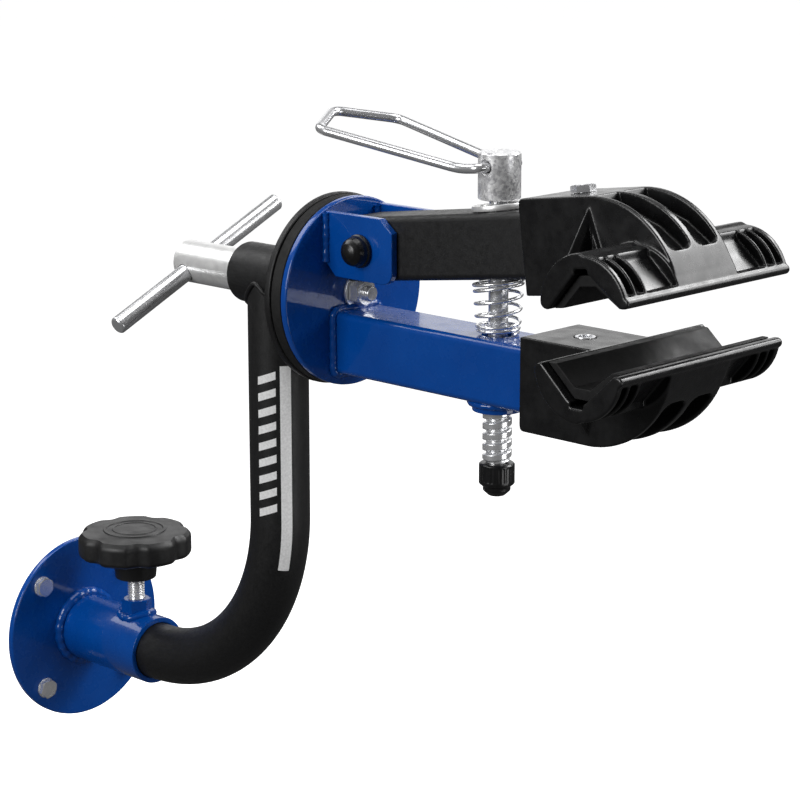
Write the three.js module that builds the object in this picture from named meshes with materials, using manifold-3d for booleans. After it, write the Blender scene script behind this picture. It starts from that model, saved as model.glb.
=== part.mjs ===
// Wall-mounted bicycle repair clamp.
// Millimetres. The origin is the centre of the wall flange's back face.
// +X points out of the wall and +Z is up.
// A bent arm turns in a wall socket, a clamp head turns on the arm's end, and two jaws close on a spindle.

import * as THREE from "three";
import { mergeVertices } from "three/addons/utils/BufferGeometryUtils.js";
import Module from "manifold-3d";

const wasm = await Module();
wasm.setup();

// ---- Driving dimensions ----

const GAP = 0.3; // between pieces that are welded, bolted or resting face to face
const RUNNING = 0.3; // radial clearance of a thread or pivot

const M8 = { radius: 4, flats: 13, head: 4.6, nut: 6.5 };
const M10 = { radius: 5, flats: 16, nut: 8 };
const M12 = { radius: 6, flats: 19 };

const FLANGE = { radius: 67.5, thickness: 5, boltOffset: 38.8, holeRadius: 4.5 };
const TUBE = { radius: 20, wall: 2 }; // the arm and the head tube are 40 mm round tube
const SOCKET = { outer: 24.15, inner: 20.3, end: 87 };
const KNOB = { x: 64.2, radius: 40.3, bottom: 67, rim: 85, crown: 86.8 };
const FLUTES = { count: 7, depth: 3.4, turn: -37 };
const KNOB_COLLAR = { radius: 16, bottom: 50.6 };
const CLAMP_NUT_TOP = 34.5;
const STUD_TOP = 80;

const ARM = { start: 12, bendStart: 89.6, bendRadius: 127.2 };
const ARM_X = ARM.bendStart + ARM.bendRadius; // where the arm stands upright
const HEAD_Z = 289; // height of the axis that the clamp head turns about

const HEAD_TUBE = { rear: 189, front: 269.2 };
const REAR_PLATE = { radius: 61.5, rear: 269.5, front: 274.4 };
const FRICTION_DISC = { radius: 60.5, rear: 274.7, front: 283 };
const CLAMP_DISC = { radius: 60.5, rear: 283.3, front: 288.3 };
const CENTRE_WASHER = { radius: 10.5, front: 290.4 };
const TIE_BOLT = { rear: 152, front: 304 };
const BARREL = { radius: 14.4, rear: 127.7, front: 186.3, chamfer: 1.6 };
const TEE_BAR = { x: 139.2, radius: 6, length: 160, tilt: 24.9 };

const PIVOT = { x: 318.5, z: 321.5, sleeve: 8 };
const EAR = { inner: 20.6, thickness: 5, top: 343, bottom: 302.5, front: 345.5 };
const PIVOT_CAP = { radius: 10.4, height: 12 };

const BAR = { size: 40, wall: 3, corner: 4 }; // both clamp arms are 40 mm square tube
const LOWER_ARM = { z: 258.4, end: 500 };
const UPPER_ARM = { tail: 20, end: 183.5, tilt: 7.7 }; // lengths along the arm from its pivot

const SPINDLE = { x: 410, rod: 6, thread: 9, threadTop: 268, top: 373 };
const SPINDLE_NUT = { radius: 15.5, bottom: 231.7 };
const HUB = { radius: 12.9, bottom: 360.5, top: 389, chamfer: 0.8 };
const HUB_WASHER = { outer: 17, inner: 11.4, thickness: 3.6, centre: 96 };
const END_CAP = { radius: 11, top: 199, shoulder: 186, dome: 8.5, bottom: 177.6 };
const BAIL = { wire: 3, height: 380.5, foot: 8, hole: 3.3 };
const SPRING = { wire: 1.1, bottomRadius: 11.9, topRadius: 15.4, turns: 6.5 };

// The jaw's own frame: X along the arm from the jaw's rear face, Z towards the other jaw,
// both from the arm's axis.
const JAW = {
  length: 148.6,
  halfWidth: 26.35,
  halfHeight: 28.35,
  lip: 29.2,
  lipRadius: 4.5,
  arc: { x: 83.2, z: 29.6, radius: 31.4 },
  nose: { x: 50.7, z: 33.5, radius: 61.85 },
  groove: { rear: 57.4, front: 108.8, centre: 83.1, floor: 10.5, halfFloor: 5.5, relief: 7.3 },
  socketDepth: 50.3,
  boltX: 27.7,
  wallThickness: 4,
};
const LOWER_JAW_X = 450.3;
const UPPER_JAW_S = 133.8; // along the upper arm from its pivot

// ---- Materials ----

function material(color, roughness, metalness) {
  return new THREE.MeshStandardMaterial({ color, roughness, metalness });
}

const bluePaint = material(0x0b3fa8, 0.25, 0.1);
const blackPaint = material(0x17181a, 0.5, 0.1);
const blackPlastic = material(0x141414, 0.45, 0);
const blackRubber = material(0x101010, 0.8, 0);
const zinc = material(0xc4c6c8, 0.35, 0.9);
const chrome = material(0xe2e4e6, 0.12, 1);

// ---- Geometry helpers ----

// A closed geometry as a solid that can be cut and joined.
function solid(geometry) {
  const bare = geometry.clone();
  bare.deleteAttribute("normal");
  bare.deleteAttribute("uv");
  const merged = mergeVertices(bare, 1e-4);
  return new wasm.Manifold(
    new wasm.Mesh({
      numProp: 3,
      vertProperties: merged.attributes.position.array,
      triVerts: merged.index.array,
    }),
  );
}

function geometryOf(body) {
  const mesh = body.getMesh();
  const geometry = new THREE.BufferGeometry();
  geometry.setAttribute("position", new THREE.BufferAttribute(mesh.vertProperties, 3));
  geometry.setIndex(new THREE.BufferAttribute(mesh.triVerts, 1));
  geometry.computeVertexNormals();
  return geometry;
}

function joined(...geometries) {
  const bodies = geometries.map(solid);
  return geometryOf(bodies.reduce((whole, body) => whole.add(body)));
}

function cut(geometry, ...cutters) {
  const bodies = cutters.map(solid);
  return geometryOf(bodies.reduce((left, body) => left.subtract(body), solid(geometry)));
}

// A profile of [radius, z] points, from the lower end to the upper end, turned about Z.
function turned(profile, segments = 24) {
  const points = profile.map(([radius, z]) => new THREE.Vector2(radius, z));
  return new THREE.LatheGeometry(points, segments).rotateX(Math.PI / 2);
}

function rod(radius, from, to, segments = 24) {
  return turned([[0, from], [radius, from], [radius, to], [0, to]], segments);
}

function chamferedRod(radius, from, to, chamfer, segments = 24) {
  const profile = [[0, from], [radius - chamfer, from], [radius, from + chamfer]];
  profile.push([radius, to - chamfer], [radius - chamfer, to], [0, to]);
  return turned(profile, segments);
}

function ring(outer, inner, from, to, segments = 24) {
  const profile = [[inner, from], [outer, from], [outer, to], [inner, to], [inner, from]];
  return turned(profile, segments);
}

function hexagon(flats, from, to) {
  const corner = flats / Math.sqrt(3);
  const prism = new THREE.CylinderGeometry(corner, corner, to - from, 6).rotateX(Math.PI / 2);
  return prism.translate(0, 0, (from + to) / 2);
}

function box(xRange, yRange, zRange) {
  const spans = [xRange, yRange, zRange];
  const [x, y, z] = spans.map(([from, to]) => ({ size: to - from, mid: (from + to) / 2 }));
  return new THREE.BoxGeometry(x.size, y.size, z.size).translate(x.mid, y.mid, z.mid);
}

// A shape drawn in X (its x) and Z (its y), given thickness from one Y to the other.
function slab(shape, fromY, toY, curveSegments = 8) {
  const settings = { depth: toY - fromY, bevelEnabled: false, curveSegments };
  return new THREE.ExtrudeGeometry(shape, settings).rotateX(Math.PI / 2).translate(0, toY, 0);
}

// A hexagon head from Z = 0 up, with its shank below.
function hexBolt(size, shankLength) {
  const shank = rod(size.radius, -shankLength, size.head / 2, 12);
  return joined(hexagon(size.flats, 0, size.head), shank);
}

function hexNut(size, from, height) {
  const bore = rod(size.radius + RUNNING, from - 1, from + height + 1, 16);
  return cut(hexagon(size.flats, from, from + height), bore);
}

function mesh(name, geometry, ofMaterial) {
  const made = new THREE.Mesh(geometry, ofMaterial);
  made.name = name;
  return made;
}

// A group whose own Z axis lies along the given world axis.
function groupAlong(axis, x, y, z) {
  const group = new THREE.Group();
  group.position.set(x, y, z);
  if (axis === "x") {
    group.rotation.y = Math.PI / 2;
  }
  if (axis === "y") {
    group.rotation.x = -Math.PI / 2;
  }
  return group;
}

// ---- Wall bracket ----

function wallBracket() {
  const bracket = new THREE.Group();
  const wall = groupAlong("x", 0, 0, 0);

  const corners = [];
  for (const side of [-1, 1]) {
    for (const row of [-1, 1]) {
      corners.push([side * FLANGE.boltOffset, row * FLANGE.boltOffset]);
    }
  }
  const hole = rod(FLANGE.holeRadius, -1, FLANGE.thickness + 1, 16);
  const holes = corners.map(([x, y]) => hole.clone().translate(x, y, 0));
  wall.add(mesh("wall_flange", cut(rod(FLANGE.radius, 0, FLANGE.thickness, 40), ...holes), bluePaint));

  corners.forEach(([x, y], index) => {
    const bolt = mesh("wall_bolt_" + (index + 1), hexBolt(M8, FLANGE.thickness), zinc);
    bolt.position.set(x, y, FLANGE.thickness + GAP);
    bolt.rotation.z = 0.4 * index;
    wall.add(bolt);
  });

  const socketTube = ring(SOCKET.outer, SOCKET.inner, FLANGE.thickness + GAP, SOCKET.end, 32);
  const studHole = rod(M12.radius + 2 * RUNNING, 0, SOCKET.outer + 5, 16).rotateY(-Math.PI / 2);
  wall.add(mesh("wall_socket", cut(socketTube, studHole.translate(0, 0, KNOB.x)), bluePaint));
  bracket.add(wall);

  const nut = hexNut(M12, SOCKET.outer - 4, CLAMP_NUT_TOP - SOCKET.outer + 4);
  const saddle = rod(SOCKET.outer + GAP, -20, 20, 40).rotateY(Math.PI / 2);
  const clampNut = mesh("clamp_nut", cut(nut, saddle), bluePaint);
  clampNut.position.x = KNOB.x;
  bracket.add(clampNut);
  return bracket;
}

// Finger flutes pressed into the side of a body turned about Z.
function fluted(geometry) {
  const place = geometry.getAttribute("position");
  for (let i = 0; i < place.count; i += 1) {
    const angle = Math.atan2(place.getY(i), place.getX(i)) - THREE.MathUtils.degToRad(FLUTES.turn);
    const dip = Math.max(0, Math.cos(FLUTES.count * angle)) ** 1.5;
    const share = 1 - (FLUTES.depth / KNOB.radius) * dip;
    place.setXY(i, place.getX(i) * share, place.getY(i) * share);
  }
  return geometry;
}

function clampScrew() {
  const screw = new THREE.Group();
  screw.position.x = KNOB.x;
  screw.add(mesh("clamp_stud", rod(M12.radius - 0.1, TUBE.radius + 0.2, STUD_TOP, 16), zinc));

  const { radius, bottom, rim, crown } = KNOB;
  const profile = [[0, bottom], [radius, bottom], [radius, rim - 1.5], [radius - 1.5, rim]];
  profile.push([0.6 * radius, crown - 0.5], [0, crown]);
  const grip = fluted(turned(profile, 8 * FLUTES.count));
  const collar = rod(KNOB_COLLAR.radius, KNOB_COLLAR.bottom, bottom + 2);
  const bore = rod(M12.radius + RUNNING, KNOB_COLLAR.bottom - 1, STUD_TOP + GAP, 16);
  screw.add(mesh("clamp_knob", cut(joined(grip, collar), bore), blackPlastic));
  return screw;
}

// ---- Bent arm and head tube ----

// A straight lead, a quarter bend and a straight tail, with the steps of the extrusion spent on the bend.
class ArmPath extends THREE.Curve {
  static steps = 14;

  // The angle that the path has turned through at a step counted from the start of the bend.
  static bendAngle(step) {
    return (THREE.MathUtils.clamp(step, 0, ArmPath.steps - 2) / (ArmPath.steps - 2)) * (Math.PI / 2);
  }

  getPointAt(u) {
    const step = u * ArmPath.steps - 1;
    const angle = ArmPath.bendAngle(step);
    const onBend = new THREE.Vector3(Math.sin(angle), 0, 1 - Math.cos(angle));
    onBend.multiplyScalar(ARM.bendRadius);
    onBend.x += ARM.bendStart;
    if (step < 0) {
      onBend.x += step * (ARM.bendStart - ARM.start);
    }
    if (step > ArmPath.steps - 2) {
      onBend.z = HEAD_Z;
    }
    return onBend;
  }

  getTangentAt(u) {
    const angle = ArmPath.bendAngle(u * ArmPath.steps - 1);
    return new THREE.Vector3(Math.cos(angle), 0, Math.sin(angle));
  }
}

function armTube() {
  const section = new THREE.Shape();
  section.absarc(0, 0, TUBE.radius, 0, 2 * Math.PI, false);
  const bore = new THREE.Path();
  bore.absarc(0, 0, TUBE.radius - TUBE.wall, 0, 2 * Math.PI, true);
  section.holes.push(bore);
  const settings = { extrudePath: new ArmPath(), steps: ArmPath.steps, curveSegments: 12 };
  const tube = new THREE.ExtrudeGeometry(section, settings);
  const saddle = rod(TUBE.radius + GAP, ARM_X - 30, ARM_X + 30, 40).rotateY(Math.PI / 2);
  return cut(tube, saddle.translate(0, 0, HEAD_Z));
}

function armPieces() {
  const arm = new THREE.Group();
  arm.add(mesh("arm_tube", armTube(), blackPaint));

  const head = groupAlong("x", 0, 0, HEAD_Z);
  const bore = TUBE.radius - TUBE.wall;
  head.add(mesh("head_tube", ring(TUBE.radius, bore, HEAD_TUBE.rear, HEAD_TUBE.front, 28), blackPaint));
  const boltHole = M10.radius + RUNNING;
  const bushLength = 12;
  const bushes = { rear_bush: HEAD_TUBE.rear, front_bush: HEAD_TUBE.front - bushLength };
  for (const [name, rear] of Object.entries(bushes)) {
    head.add(mesh(name, ring(bore - GAP, boltHole, rear, rear + bushLength), blackPaint));
  }
  const plate = ring(REAR_PLATE.radius, boltHole, REAR_PLATE.rear, REAR_PLATE.front, 40);
  head.add(mesh("rear_plate", plate, blackPaint));
  const disc = ring(FRICTION_DISC.radius, boltHole, FRICTION_DISC.rear, FRICTION_DISC.front, 40);
  head.add(mesh("friction_disc", disc, blackRubber));
  arm.add(head);
  return arm;
}

// ---- Clamp head: disc, tie bolt and tee handle ----

function headStack() {
  const head = groupAlong("x", 0, 0, HEAD_Z);
  const boltHole = M10.radius + RUNNING;
  const disc = ring(CLAMP_DISC.radius, boltHole, CLAMP_DISC.rear, CLAMP_DISC.front, 40);
  head.add(mesh("clamp_disc", disc, bluePaint));
  head.add(mesh("tie_bolt", chamferedRod(M10.radius, TIE_BOLT.rear, TIE_BOLT.front, 0.8, 16), zinc));
  const washer = ring(CENTRE_WASHER.radius, boltHole, CLAMP_DISC.front + GAP, CENTRE_WASHER.front);
  head.add(mesh("centre_washer", washer, zinc));
  head.add(mesh("centre_nut", hexNut(M10, CENTRE_WASHER.front + GAP, M10.nut), zinc));
  return head;
}

function teeHandle() {
  const tee = groupAlong("x", 0, 0, HEAD_Z);
  const thread = M10.radius + RUNNING;
  const body = chamferedRod(BARREL.radius, BARREL.rear, BARREL.front, BARREL.chamfer);
  const boltBore = rod(thread, TIE_BOLT.rear - 4, BARREL.front + 1, 16);
  const barTilt = THREE.MathUtils.degToRad(TEE_BAR.tilt);
  // The bar lies across the barrel: along the group's Y axis, tipped towards world Z.
  const across = (geometry) => geometry.rotateX(-Math.PI / 2).rotateZ(barTilt).translate(0, 0, TEE_BAR.x);
  const barBore = across(rod(TEE_BAR.radius + GAP, -30, 30, 20));
  tee.add(mesh("tee_barrel", cut(body, boltBore, barBore), zinc));
  const half = TEE_BAR.length / 2;
  tee.add(mesh("tee_bar", across(chamferedRod(TEE_BAR.radius, -half, half, 1, 16)), chrome));
  const washer = ring(BARREL.radius, thread, BARREL.front + GAP, HEAD_TUBE.rear - GAP);
  tee.add(mesh("thrust_washer", washer, zinc));
  return tee;
}

// ---- Ears and pivot ----

function earOutline() {
  const rear = CLAMP_DISC.front + GAP;
  const corner = 8;
  const outline = new THREE.Shape();
  outline.moveTo(rear, EAR.top);
  outline.lineTo(rear, EAR.bottom + corner);
  outline.lineTo(rear + corner, EAR.bottom);
  outline.lineTo(EAR.front - corner, EAR.bottom);
  outline.absarc(EAR.front - corner, EAR.bottom + corner, corner, -Math.PI / 2, 0, false);
  outline.lineTo(EAR.front, EAR.top - corner);
  outline.lineTo(EAR.front - corner - 2, EAR.top);
  outline.closePath();
  const hole = new THREE.Path();
  hole.absarc(PIVOT.x, PIVOT.z, M8.radius + RUNNING, 0, 2 * Math.PI, true);
  outline.holes.push(hole);
  return outline;
}

function pivotCap() {
  const rise = PIVOT_CAP.height;
  const inside = PIVOT_CAP.radius - 0.9;
  const outer = [[PIVOT_CAP.radius, 0], [PIVOT_CAP.radius, 3], [9.6, 6], [7.6, 9.4], [4.2, 11.4]];
  outer.push([0, rise]);
  const inner = [[0, rise - 1.4], [inside - 2, rise - 4.2], [inside, 5], [inside, 0]];
  return turned([...inner, ...outer], 20);
}

function pivotPieces() {
  const pieces = new THREE.Group();
  for (const [name, inner] of [["ear_left", -EAR.inner - EAR.thickness], ["ear_right", EAR.inner]]) {
    pieces.add(mesh(name, slab(earOutline(), inner, inner + EAR.thickness), bluePaint));
  }
  const pivot = groupAlong("y", PIVOT.x, 0, PIVOT.z);
  const face = EAR.inner + EAR.thickness + GAP;
  const sleeve = ring(PIVOT.sleeve, M8.radius + RUNNING, GAP - EAR.inner, EAR.inner - GAP);
  pivot.add(mesh("pivot_sleeve", sleeve, zinc));
  // The bolt's head is on the left, under its cap.
  const bolt = mesh("pivot_bolt", hexBolt(M8, 2 * face + M8.nut + 1), zinc);
  bolt.rotation.x = Math.PI;
  bolt.position.z = -face;
  pivot.add(bolt);
  pivot.add(mesh("pivot_nut", hexNut(M8, face, M8.nut), zinc));
  for (const [name, turn] of [["pivot_cap_left", Math.PI], ["pivot_cap_right", 0]]) {
    const cap = mesh(name, pivotCap(), blackPlastic);
    cap.rotation.x = turn;
    cap.position.z = Math.cos(turn) * face;
    pivot.add(cap);
  }
  pieces.add(pivot);
  return pieces;
}

// ---- Square arms ----

function roundedSquare(path, size, corner) {
  const side = size / 2 - corner;
  path.absarc(side, side, corner, 0, Math.PI / 2, false);
  path.absarc(-side, side, corner, Math.PI / 2, Math.PI, false);
  path.absarc(-side, -side, corner, Math.PI, 1.5 * Math.PI, false);
  path.absarc(side, -side, corner, 1.5 * Math.PI, 2 * Math.PI, false);
  path.closePath();
  return path;
}

// A square tube along X, centred on the X axis.
function squareTube(from, to) {
  const section = roundedSquare(new THREE.Shape(), BAR.size, BAR.corner);
  section.holes.push(roundedSquare(new THREE.Path(), BAR.size - 2 * BAR.wall, BAR.corner - BAR.wall));
  const settings = { depth: to - from, bevelEnabled: false, curveSegments: 3 };
  return new THREE.ExtrudeGeometry(section, settings).rotateY(Math.PI / 2).translate(from, 0, 0);
}

function lowerArm() {
  const tube = squareTube(CLAMP_DISC.front + GAP, LOWER_ARM.end);
  const spindleHole = rod(SPINDLE.thread + 1, -30, 30, 20).translate(SPINDLE.x, 0, 0);
  const boltHole = rod(M8.radius + RUNNING, -30, 30, 12).translate(LOWER_JAW_X + JAW.boltX, 0, 0);
  const arm = mesh("lower_arm", cut(tube, spindleHole, boltHole), bluePaint);
  arm.position.z = LOWER_ARM.z;
  return arm;
}

// A round-ended slot through a horizontal wall.
function slotCutter(from, to, halfWidth, low, high) {
  const outline = new THREE.Shape();
  outline.absarc(from + halfWidth, 0, halfWidth, Math.PI / 2, 1.5 * Math.PI, false);
  outline.absarc(to - halfWidth, 0, halfWidth, -Math.PI / 2, Math.PI / 2, false);
  outline.closePath();
  const settings = { depth: high - low, bevelEnabled: false, curveSegments: 6 };
  return new THREE.ExtrudeGeometry(outline, settings).translate(0, 0, low);
}

// In the upper arm's own frame: X along the arm from its pivot, Z square to it.
function upperArm() {
  const tube = squareTube(-UPPER_ARM.tail, UPPER_ARM.end);
  const pivotHole = rod(PIVOT.sleeve + RUNNING, -30, 30, 20).rotateX(Math.PI / 2);
  const slotWidth = SPINDLE.rod + 0.6;
  const topSlot = slotCutter(84.4, 106.8, slotWidth, 10, 30);
  const bottomSlot = slotCutter(82.4, 99, slotWidth, -30, -10);
  const boltHole = rod(M8.radius + RUNNING, -30, 30, 12).translate(UPPER_JAW_S + JAW.boltX, 0, 0);
  return mesh("upper_arm", cut(tube, pivotHole, topSlot, bottomSlot, boltHole), blackPaint);
}

// ---- Jaws ----

// The groove's outline, down its rear wall and up its front wall, offset into it by a lining.
function grooveEdge(lining) {
  const { rear, front, centre, floor, halfFloor } = JAW.groove;
  const slide = 1.4 * lining;
  return [
    [rear + slide, JAW.lip],
    [centre - halfFloor, floor + slide],
    [centre + halfFloor, floor + slide],
    [front - slide, JAW.lip],
  ];
}

function followed(shape, points) {
  points.forEach(([x, z]) => shape.lineTo(x, z));
  return shape;
}

// The wing's full section: a round back, two rounded lips and the groove between them.
function wingSection() {
  const { arc, lip, lipRadius } = JAW;
  const lipCentre = lip - lipRadius;
  const drop = Math.asin((arc.z - lipCentre) / arc.radius);
  const reach = arc.radius * Math.cos(drop) - lipRadius;
  const section = new THREE.Shape();
  section.absarc(arc.x - reach, lipCentre, lipRadius, Math.PI / 2, Math.PI, false);
  section.absarc(arc.x, arc.z, arc.radius, Math.PI + drop, 2 * Math.PI - drop, false);
  section.absarc(arc.x + reach, lipCentre, lipRadius, 0, Math.PI / 2, false);
  followed(section, grooveEdge(0).reverse());
  section.closePath();
  return section;
}

// The block that holds the arm, with its round nose under the groove.
function blockSection() {
  const { nose, halfHeight, groove } = JAW;
  const section = new THREE.Shape();
  const corner = 3;
  section.moveTo(0, halfHeight);
  section.lineTo(0, corner - halfHeight);
  section.absarc(corner, corner - halfHeight, corner, Math.PI, 1.5 * Math.PI, false);
  section.absarc(nose.x, nose.z, nose.radius, 1.5 * Math.PI, 2 * Math.PI - 0.16, false);
  followed(section, grooveEdge(0).reverse());
  section.lineTo(groove.rear - 3, halfHeight);
  section.closePath();
  return section;
}

function jawGeometry() {
  const half = JAW.length / 2;
  const { arc, nose, groove, wallThickness, halfWidth, halfHeight } = JAW;
  const wings = slab(wingSection(), -half, half, 12);
  const block = slab(blockSection(), -halfWidth, halfWidth, 10);

  // Pockets leave thin ribs standing between the round back and the groove's wall.
  const cutters = [];
  const pocketRows = [[half - wallThickness, 61], [57, halfWidth + 1]];
  for (const [outer, inner] of pocketRows) {
    for (const side of [-1, 1]) {
      const pocket = new THREE.Shape();
      pocket.moveTo(arc.x + arc.radius + 5, 14);
      pocket.lineTo(groove.front - 4, 19);
      pocket.lineTo(groove.centre + groove.halfFloor + 4, groove.relief - 1);
      pocket.lineTo(groove.centre + groove.halfFloor + 4, -10);
      pocket.lineTo(arc.x + arc.radius + 5, -10);
      pocket.closePath();
      const [from, to] = side < 0 ? [-outer, -inner] : [inner, outer];
      cutters.push(slab(pocket, from, to));
    }
  }
  const noseRib = 2.5;
  for (const side of [-1, 1]) {
    const pocket = new THREE.Shape();
    pocket.moveTo(nose.x + 3, -halfHeight - 5);
    pocket.lineTo(nose.x + 6, -halfHeight + 8);
    pocket.lineTo(groove.centre, -8);
    pocket.lineTo(groove.front - 9, 6);
    pocket.lineTo(nose.x + nose.radius + 5, 2);
    pocket.lineTo(nose.x + nose.radius + 5, -halfHeight - 5);
    pocket.closePath();
    const [from, to] = side < 0 ? [-halfWidth + 4, -noseRib] : [noseRib, halfWidth - 4];
    cutters.push(slab(pocket, from, to));
  }
  const socketHalf = BAR.size / 2 + GAP;
  cutters.push(box([-1, JAW.socketDepth], [-socketHalf, socketHalf], [-socketHalf, socketHalf]));
  const reliefHalf = groove.halfFloor - 1;
  const reliefSpan = [groove.centre - reliefHalf, groove.centre + reliefHalf];
  cutters.push(box(reliefSpan, [-half - 1, half + 1], [groove.relief, 14]));
  cutters.push(rod(M8.radius + RUNNING, -40, 40, 12).translate(JAW.boltX, 0, 0));
  cutters.push(rod(6.6, BAR.size / 2, 40, 16).translate(JAW.boltX, 0, 0));
  return cut(joined(wings, block), ...cutters);
}

function jawPad() {
  const section = new THREE.Shape();
  const outside = grooveEdge(GAP);
  const inside = grooveEdge(5);
  section.moveTo(...outside[0]);
  followed(section, outside.slice(1));
  followed(section, inside.reverse());
  section.closePath();
  const half = JAW.length / 2 - 5.3;
  return slab(section, -half, half);
}

// One jaw with its pad and bolt, in the jaw's own frame. The bolt goes in from the jaw's outer face.
function jawAssembly(side) {
  const jaw = new THREE.Group();
  jaw.add(mesh(side + "_jaw", jawGeometry(), blackPlastic));
  jaw.add(mesh(side + "_jaw_pad", jawPad(), blackRubber));
  const bolt = mesh(side + "_jaw_bolt", hexBolt(M8, 2 * JAW.halfHeight - 1.5), zinc);
  bolt.rotation.set(Math.PI, 0, -0.36);
  bolt.position.set(JAW.boltX, 0, -JAW.halfHeight - GAP);
  jaw.add(bolt);
  const collar = ring(6.2, M8.radius + RUNNING, BAR.size / 2 + GAP, JAW.halfHeight + 0.5, 16);
  const sleeveNut = mesh(side + "_jaw_nut", collar, zinc);
  sleeveNut.position.x = JAW.boltX;
  jaw.add(sleeveNut);
  return jaw;
}

// ---- Spindle, hub and bail ----

function spindlePieces() {
  const spindle = new THREE.Group();
  spindle.position.x = SPINDLE.x;
  const { rod: rodRadius, thread, threadTop, top } = SPINDLE;
  const tip = END_CAP.shoulder + 3;
  const shaft = [[0, tip], [rodRadius, tip], [rodRadius, END_CAP.top + 0.5]];
  shaft.push([thread, END_CAP.top + 3], [thread, threadTop - 2], [rodRadius, threadTop]);
  shaft.push([rodRadius, top], [0, top]);
  spindle.add(mesh("spindle", turned(shaft, 20), zinc));

  const body = chamferedRod(HUB.radius, HUB.bottom, HUB.top, HUB.chamfer);
  const rodBore = rod(rodRadius + GAP, HUB.bottom - 1, top + GAP, 20);
  const bailBore = rod(BAIL.hole, -20, 20, 16).rotateX(Math.PI / 2).translate(0, 0, BAIL.height);
  spindle.add(mesh("spindle_hub", cut(body, rodBore, bailBore), zinc));

  const dome = [[0, END_CAP.bottom], [END_CAP.dome - 3.5, END_CAP.bottom + 0.8]];
  dome.push([END_CAP.dome, END_CAP.bottom + 4], [END_CAP.dome, END_CAP.shoulder - 2]);
  dome.push([END_CAP.radius, END_CAP.shoulder]);
  dome.push([END_CAP.radius, END_CAP.top - 1], [END_CAP.radius - 1, END_CAP.top], [0, END_CAP.top]);
  const capBore = rod(rodRadius + RUNNING, END_CAP.shoulder + 2.5, END_CAP.top + 1, 16);
  spindle.add(mesh("end_cap", cut(turned(dome, 20), capBore), blackPlastic));

  const nutTop = LOWER_ARM.z - BAR.size / 2 - GAP;
  const nut = ring(SPINDLE_NUT.radius, thread + RUNNING, SPINDLE_NUT.bottom, nutTop);
  spindle.add(mesh("spindle_nut", nut, bluePaint));
  return spindle;
}

// A path through corner points, each corner rounded off.
function roundedPath(points, reach) {
  const path = new THREE.CurvePath();
  let start = points[0];
  for (let i = 1; i < points.length - 1; i += 1) {
    const sides = [points[i].distanceTo(points[i - 1]), points[i].distanceTo(points[i + 1])];
    const near = Math.min(reach, 0.45 * sides[0], 0.45 * sides[1]);
    const before = points[i].clone().sub(points[i - 1]).setLength(near).negate().add(points[i]);
    const after = points[i + 1].clone().sub(points[i]).setLength(near).add(points[i]);
    path.add(new THREE.LineCurve3(start, before));
    path.add(new THREE.QuadraticBezierCurve3(before, points[i], after));
    start = after;
  }
  path.add(new THREE.LineCurve3(start, points[points.length - 1]));
  return path;
}

function circle(radius, segments) {
  const points = [];
  for (let i = 0; i < segments; i += 1) {
    const angle = (i / segments) * 2 * Math.PI;
    points.push(new THREE.Vector2(radius * Math.cos(angle), radius * Math.sin(angle)));
  }
  return new THREE.Shape(points);
}

// The wire loop that turns the spindle, hinged in the hub's cross hole.
function bail() {
  const half = [
    [SPINDLE.x, BAIL.foot, BAIL.height],
    [SPINDLE.x, 18.3, BAIL.height],
    [SPINDLE.x - 15.4, 18.3, BAIL.height - 1.6],
    [293, 36, 395.5],
  ];
  const near = half.map(([x, y, z]) => new THREE.Vector3(x, -y, z));
  const far = half.map(([x, y, z]) => new THREE.Vector3(x, y, z)).reverse();
  const corners = [...near, new THREE.Vector3(269.5, 0, 402), ...far];
  const settings = { extrudePath: roundedPath(corners, 7), steps: 72, curveSegments: 1 };
  return mesh("bail", new THREE.ExtrudeGeometry(circle(BAIL.wire, 7), settings), chrome);
}

// A conical coil with closed turns at both ends, its top turns tilted to the upper arm's underside.
class SpringPath extends THREE.Curve {
  constructor(bottom, top, tilt) {
    super();
    this.bottom = bottom;
    this.top = top;
    this.slope = Math.tan(tilt);
  }

  getPoint(t) {
    const angle = 2 * Math.PI * SPRING.turns * t;
    const radius = THREE.MathUtils.lerp(SPRING.bottomRadius, SPRING.topRadius, t);
    const x = radius * Math.cos(angle);
    // The pitch is small near both ends and large between them.
    const rise = THREE.MathUtils.lerp(t, 3 * t * t - 2 * t * t * t, 0.62);
    const z = this.bottom + rise * (this.top + x * this.slope - this.bottom);
    return new THREE.Vector3(x, radius * Math.sin(angle), z);
  }
}

function spring() {
  const tilt = THREE.MathUtils.degToRad(UPPER_ARM.tilt);
  const alongArm = SPINDLE.x - PIVOT.x;
  const underside = PIVOT.z + alongArm * Math.tan(tilt) - BAR.size / 2 / Math.cos(tilt);
  const bottom = LOWER_ARM.z + BAR.size / 2 + GAP + SPRING.wire;
  const path = new SpringPath(bottom, underside - GAP - SPRING.wire - 0.1, tilt);
  const settings = { extrudePath: path, steps: 84, curveSegments: 1 };
  const coil = mesh("spring", new THREE.ExtrudeGeometry(circle(SPRING.wire, 5), settings), zinc);
  coil.position.x = SPINDLE.x;
  return coil;
}

// ---- Assembly ----

function upperArmGroup() {
  const group = new THREE.Group();
  group.position.set(PIVOT.x, 0, PIVOT.z);
  group.rotation.y = -THREE.MathUtils.degToRad(UPPER_ARM.tilt);
  group.add(upperArm());

  const washerLow = BAR.size / 2 + GAP;
  const washer = ring(HUB_WASHER.outer, HUB_WASHER.inner, washerLow, washerLow + HUB_WASHER.thickness);
  const hubWasher = mesh("hub_washer", washer, zinc);
  hubWasher.position.x = HUB_WASHER.centre;
  group.add(hubWasher);

  // The same jaw as the lower one, turned over.
  const jaw = jawAssembly("upper");
  jaw.position.x = UPPER_JAW_S;
  jaw.rotation.x = Math.PI;
  group.add(jaw);
  return group;
}

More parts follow.
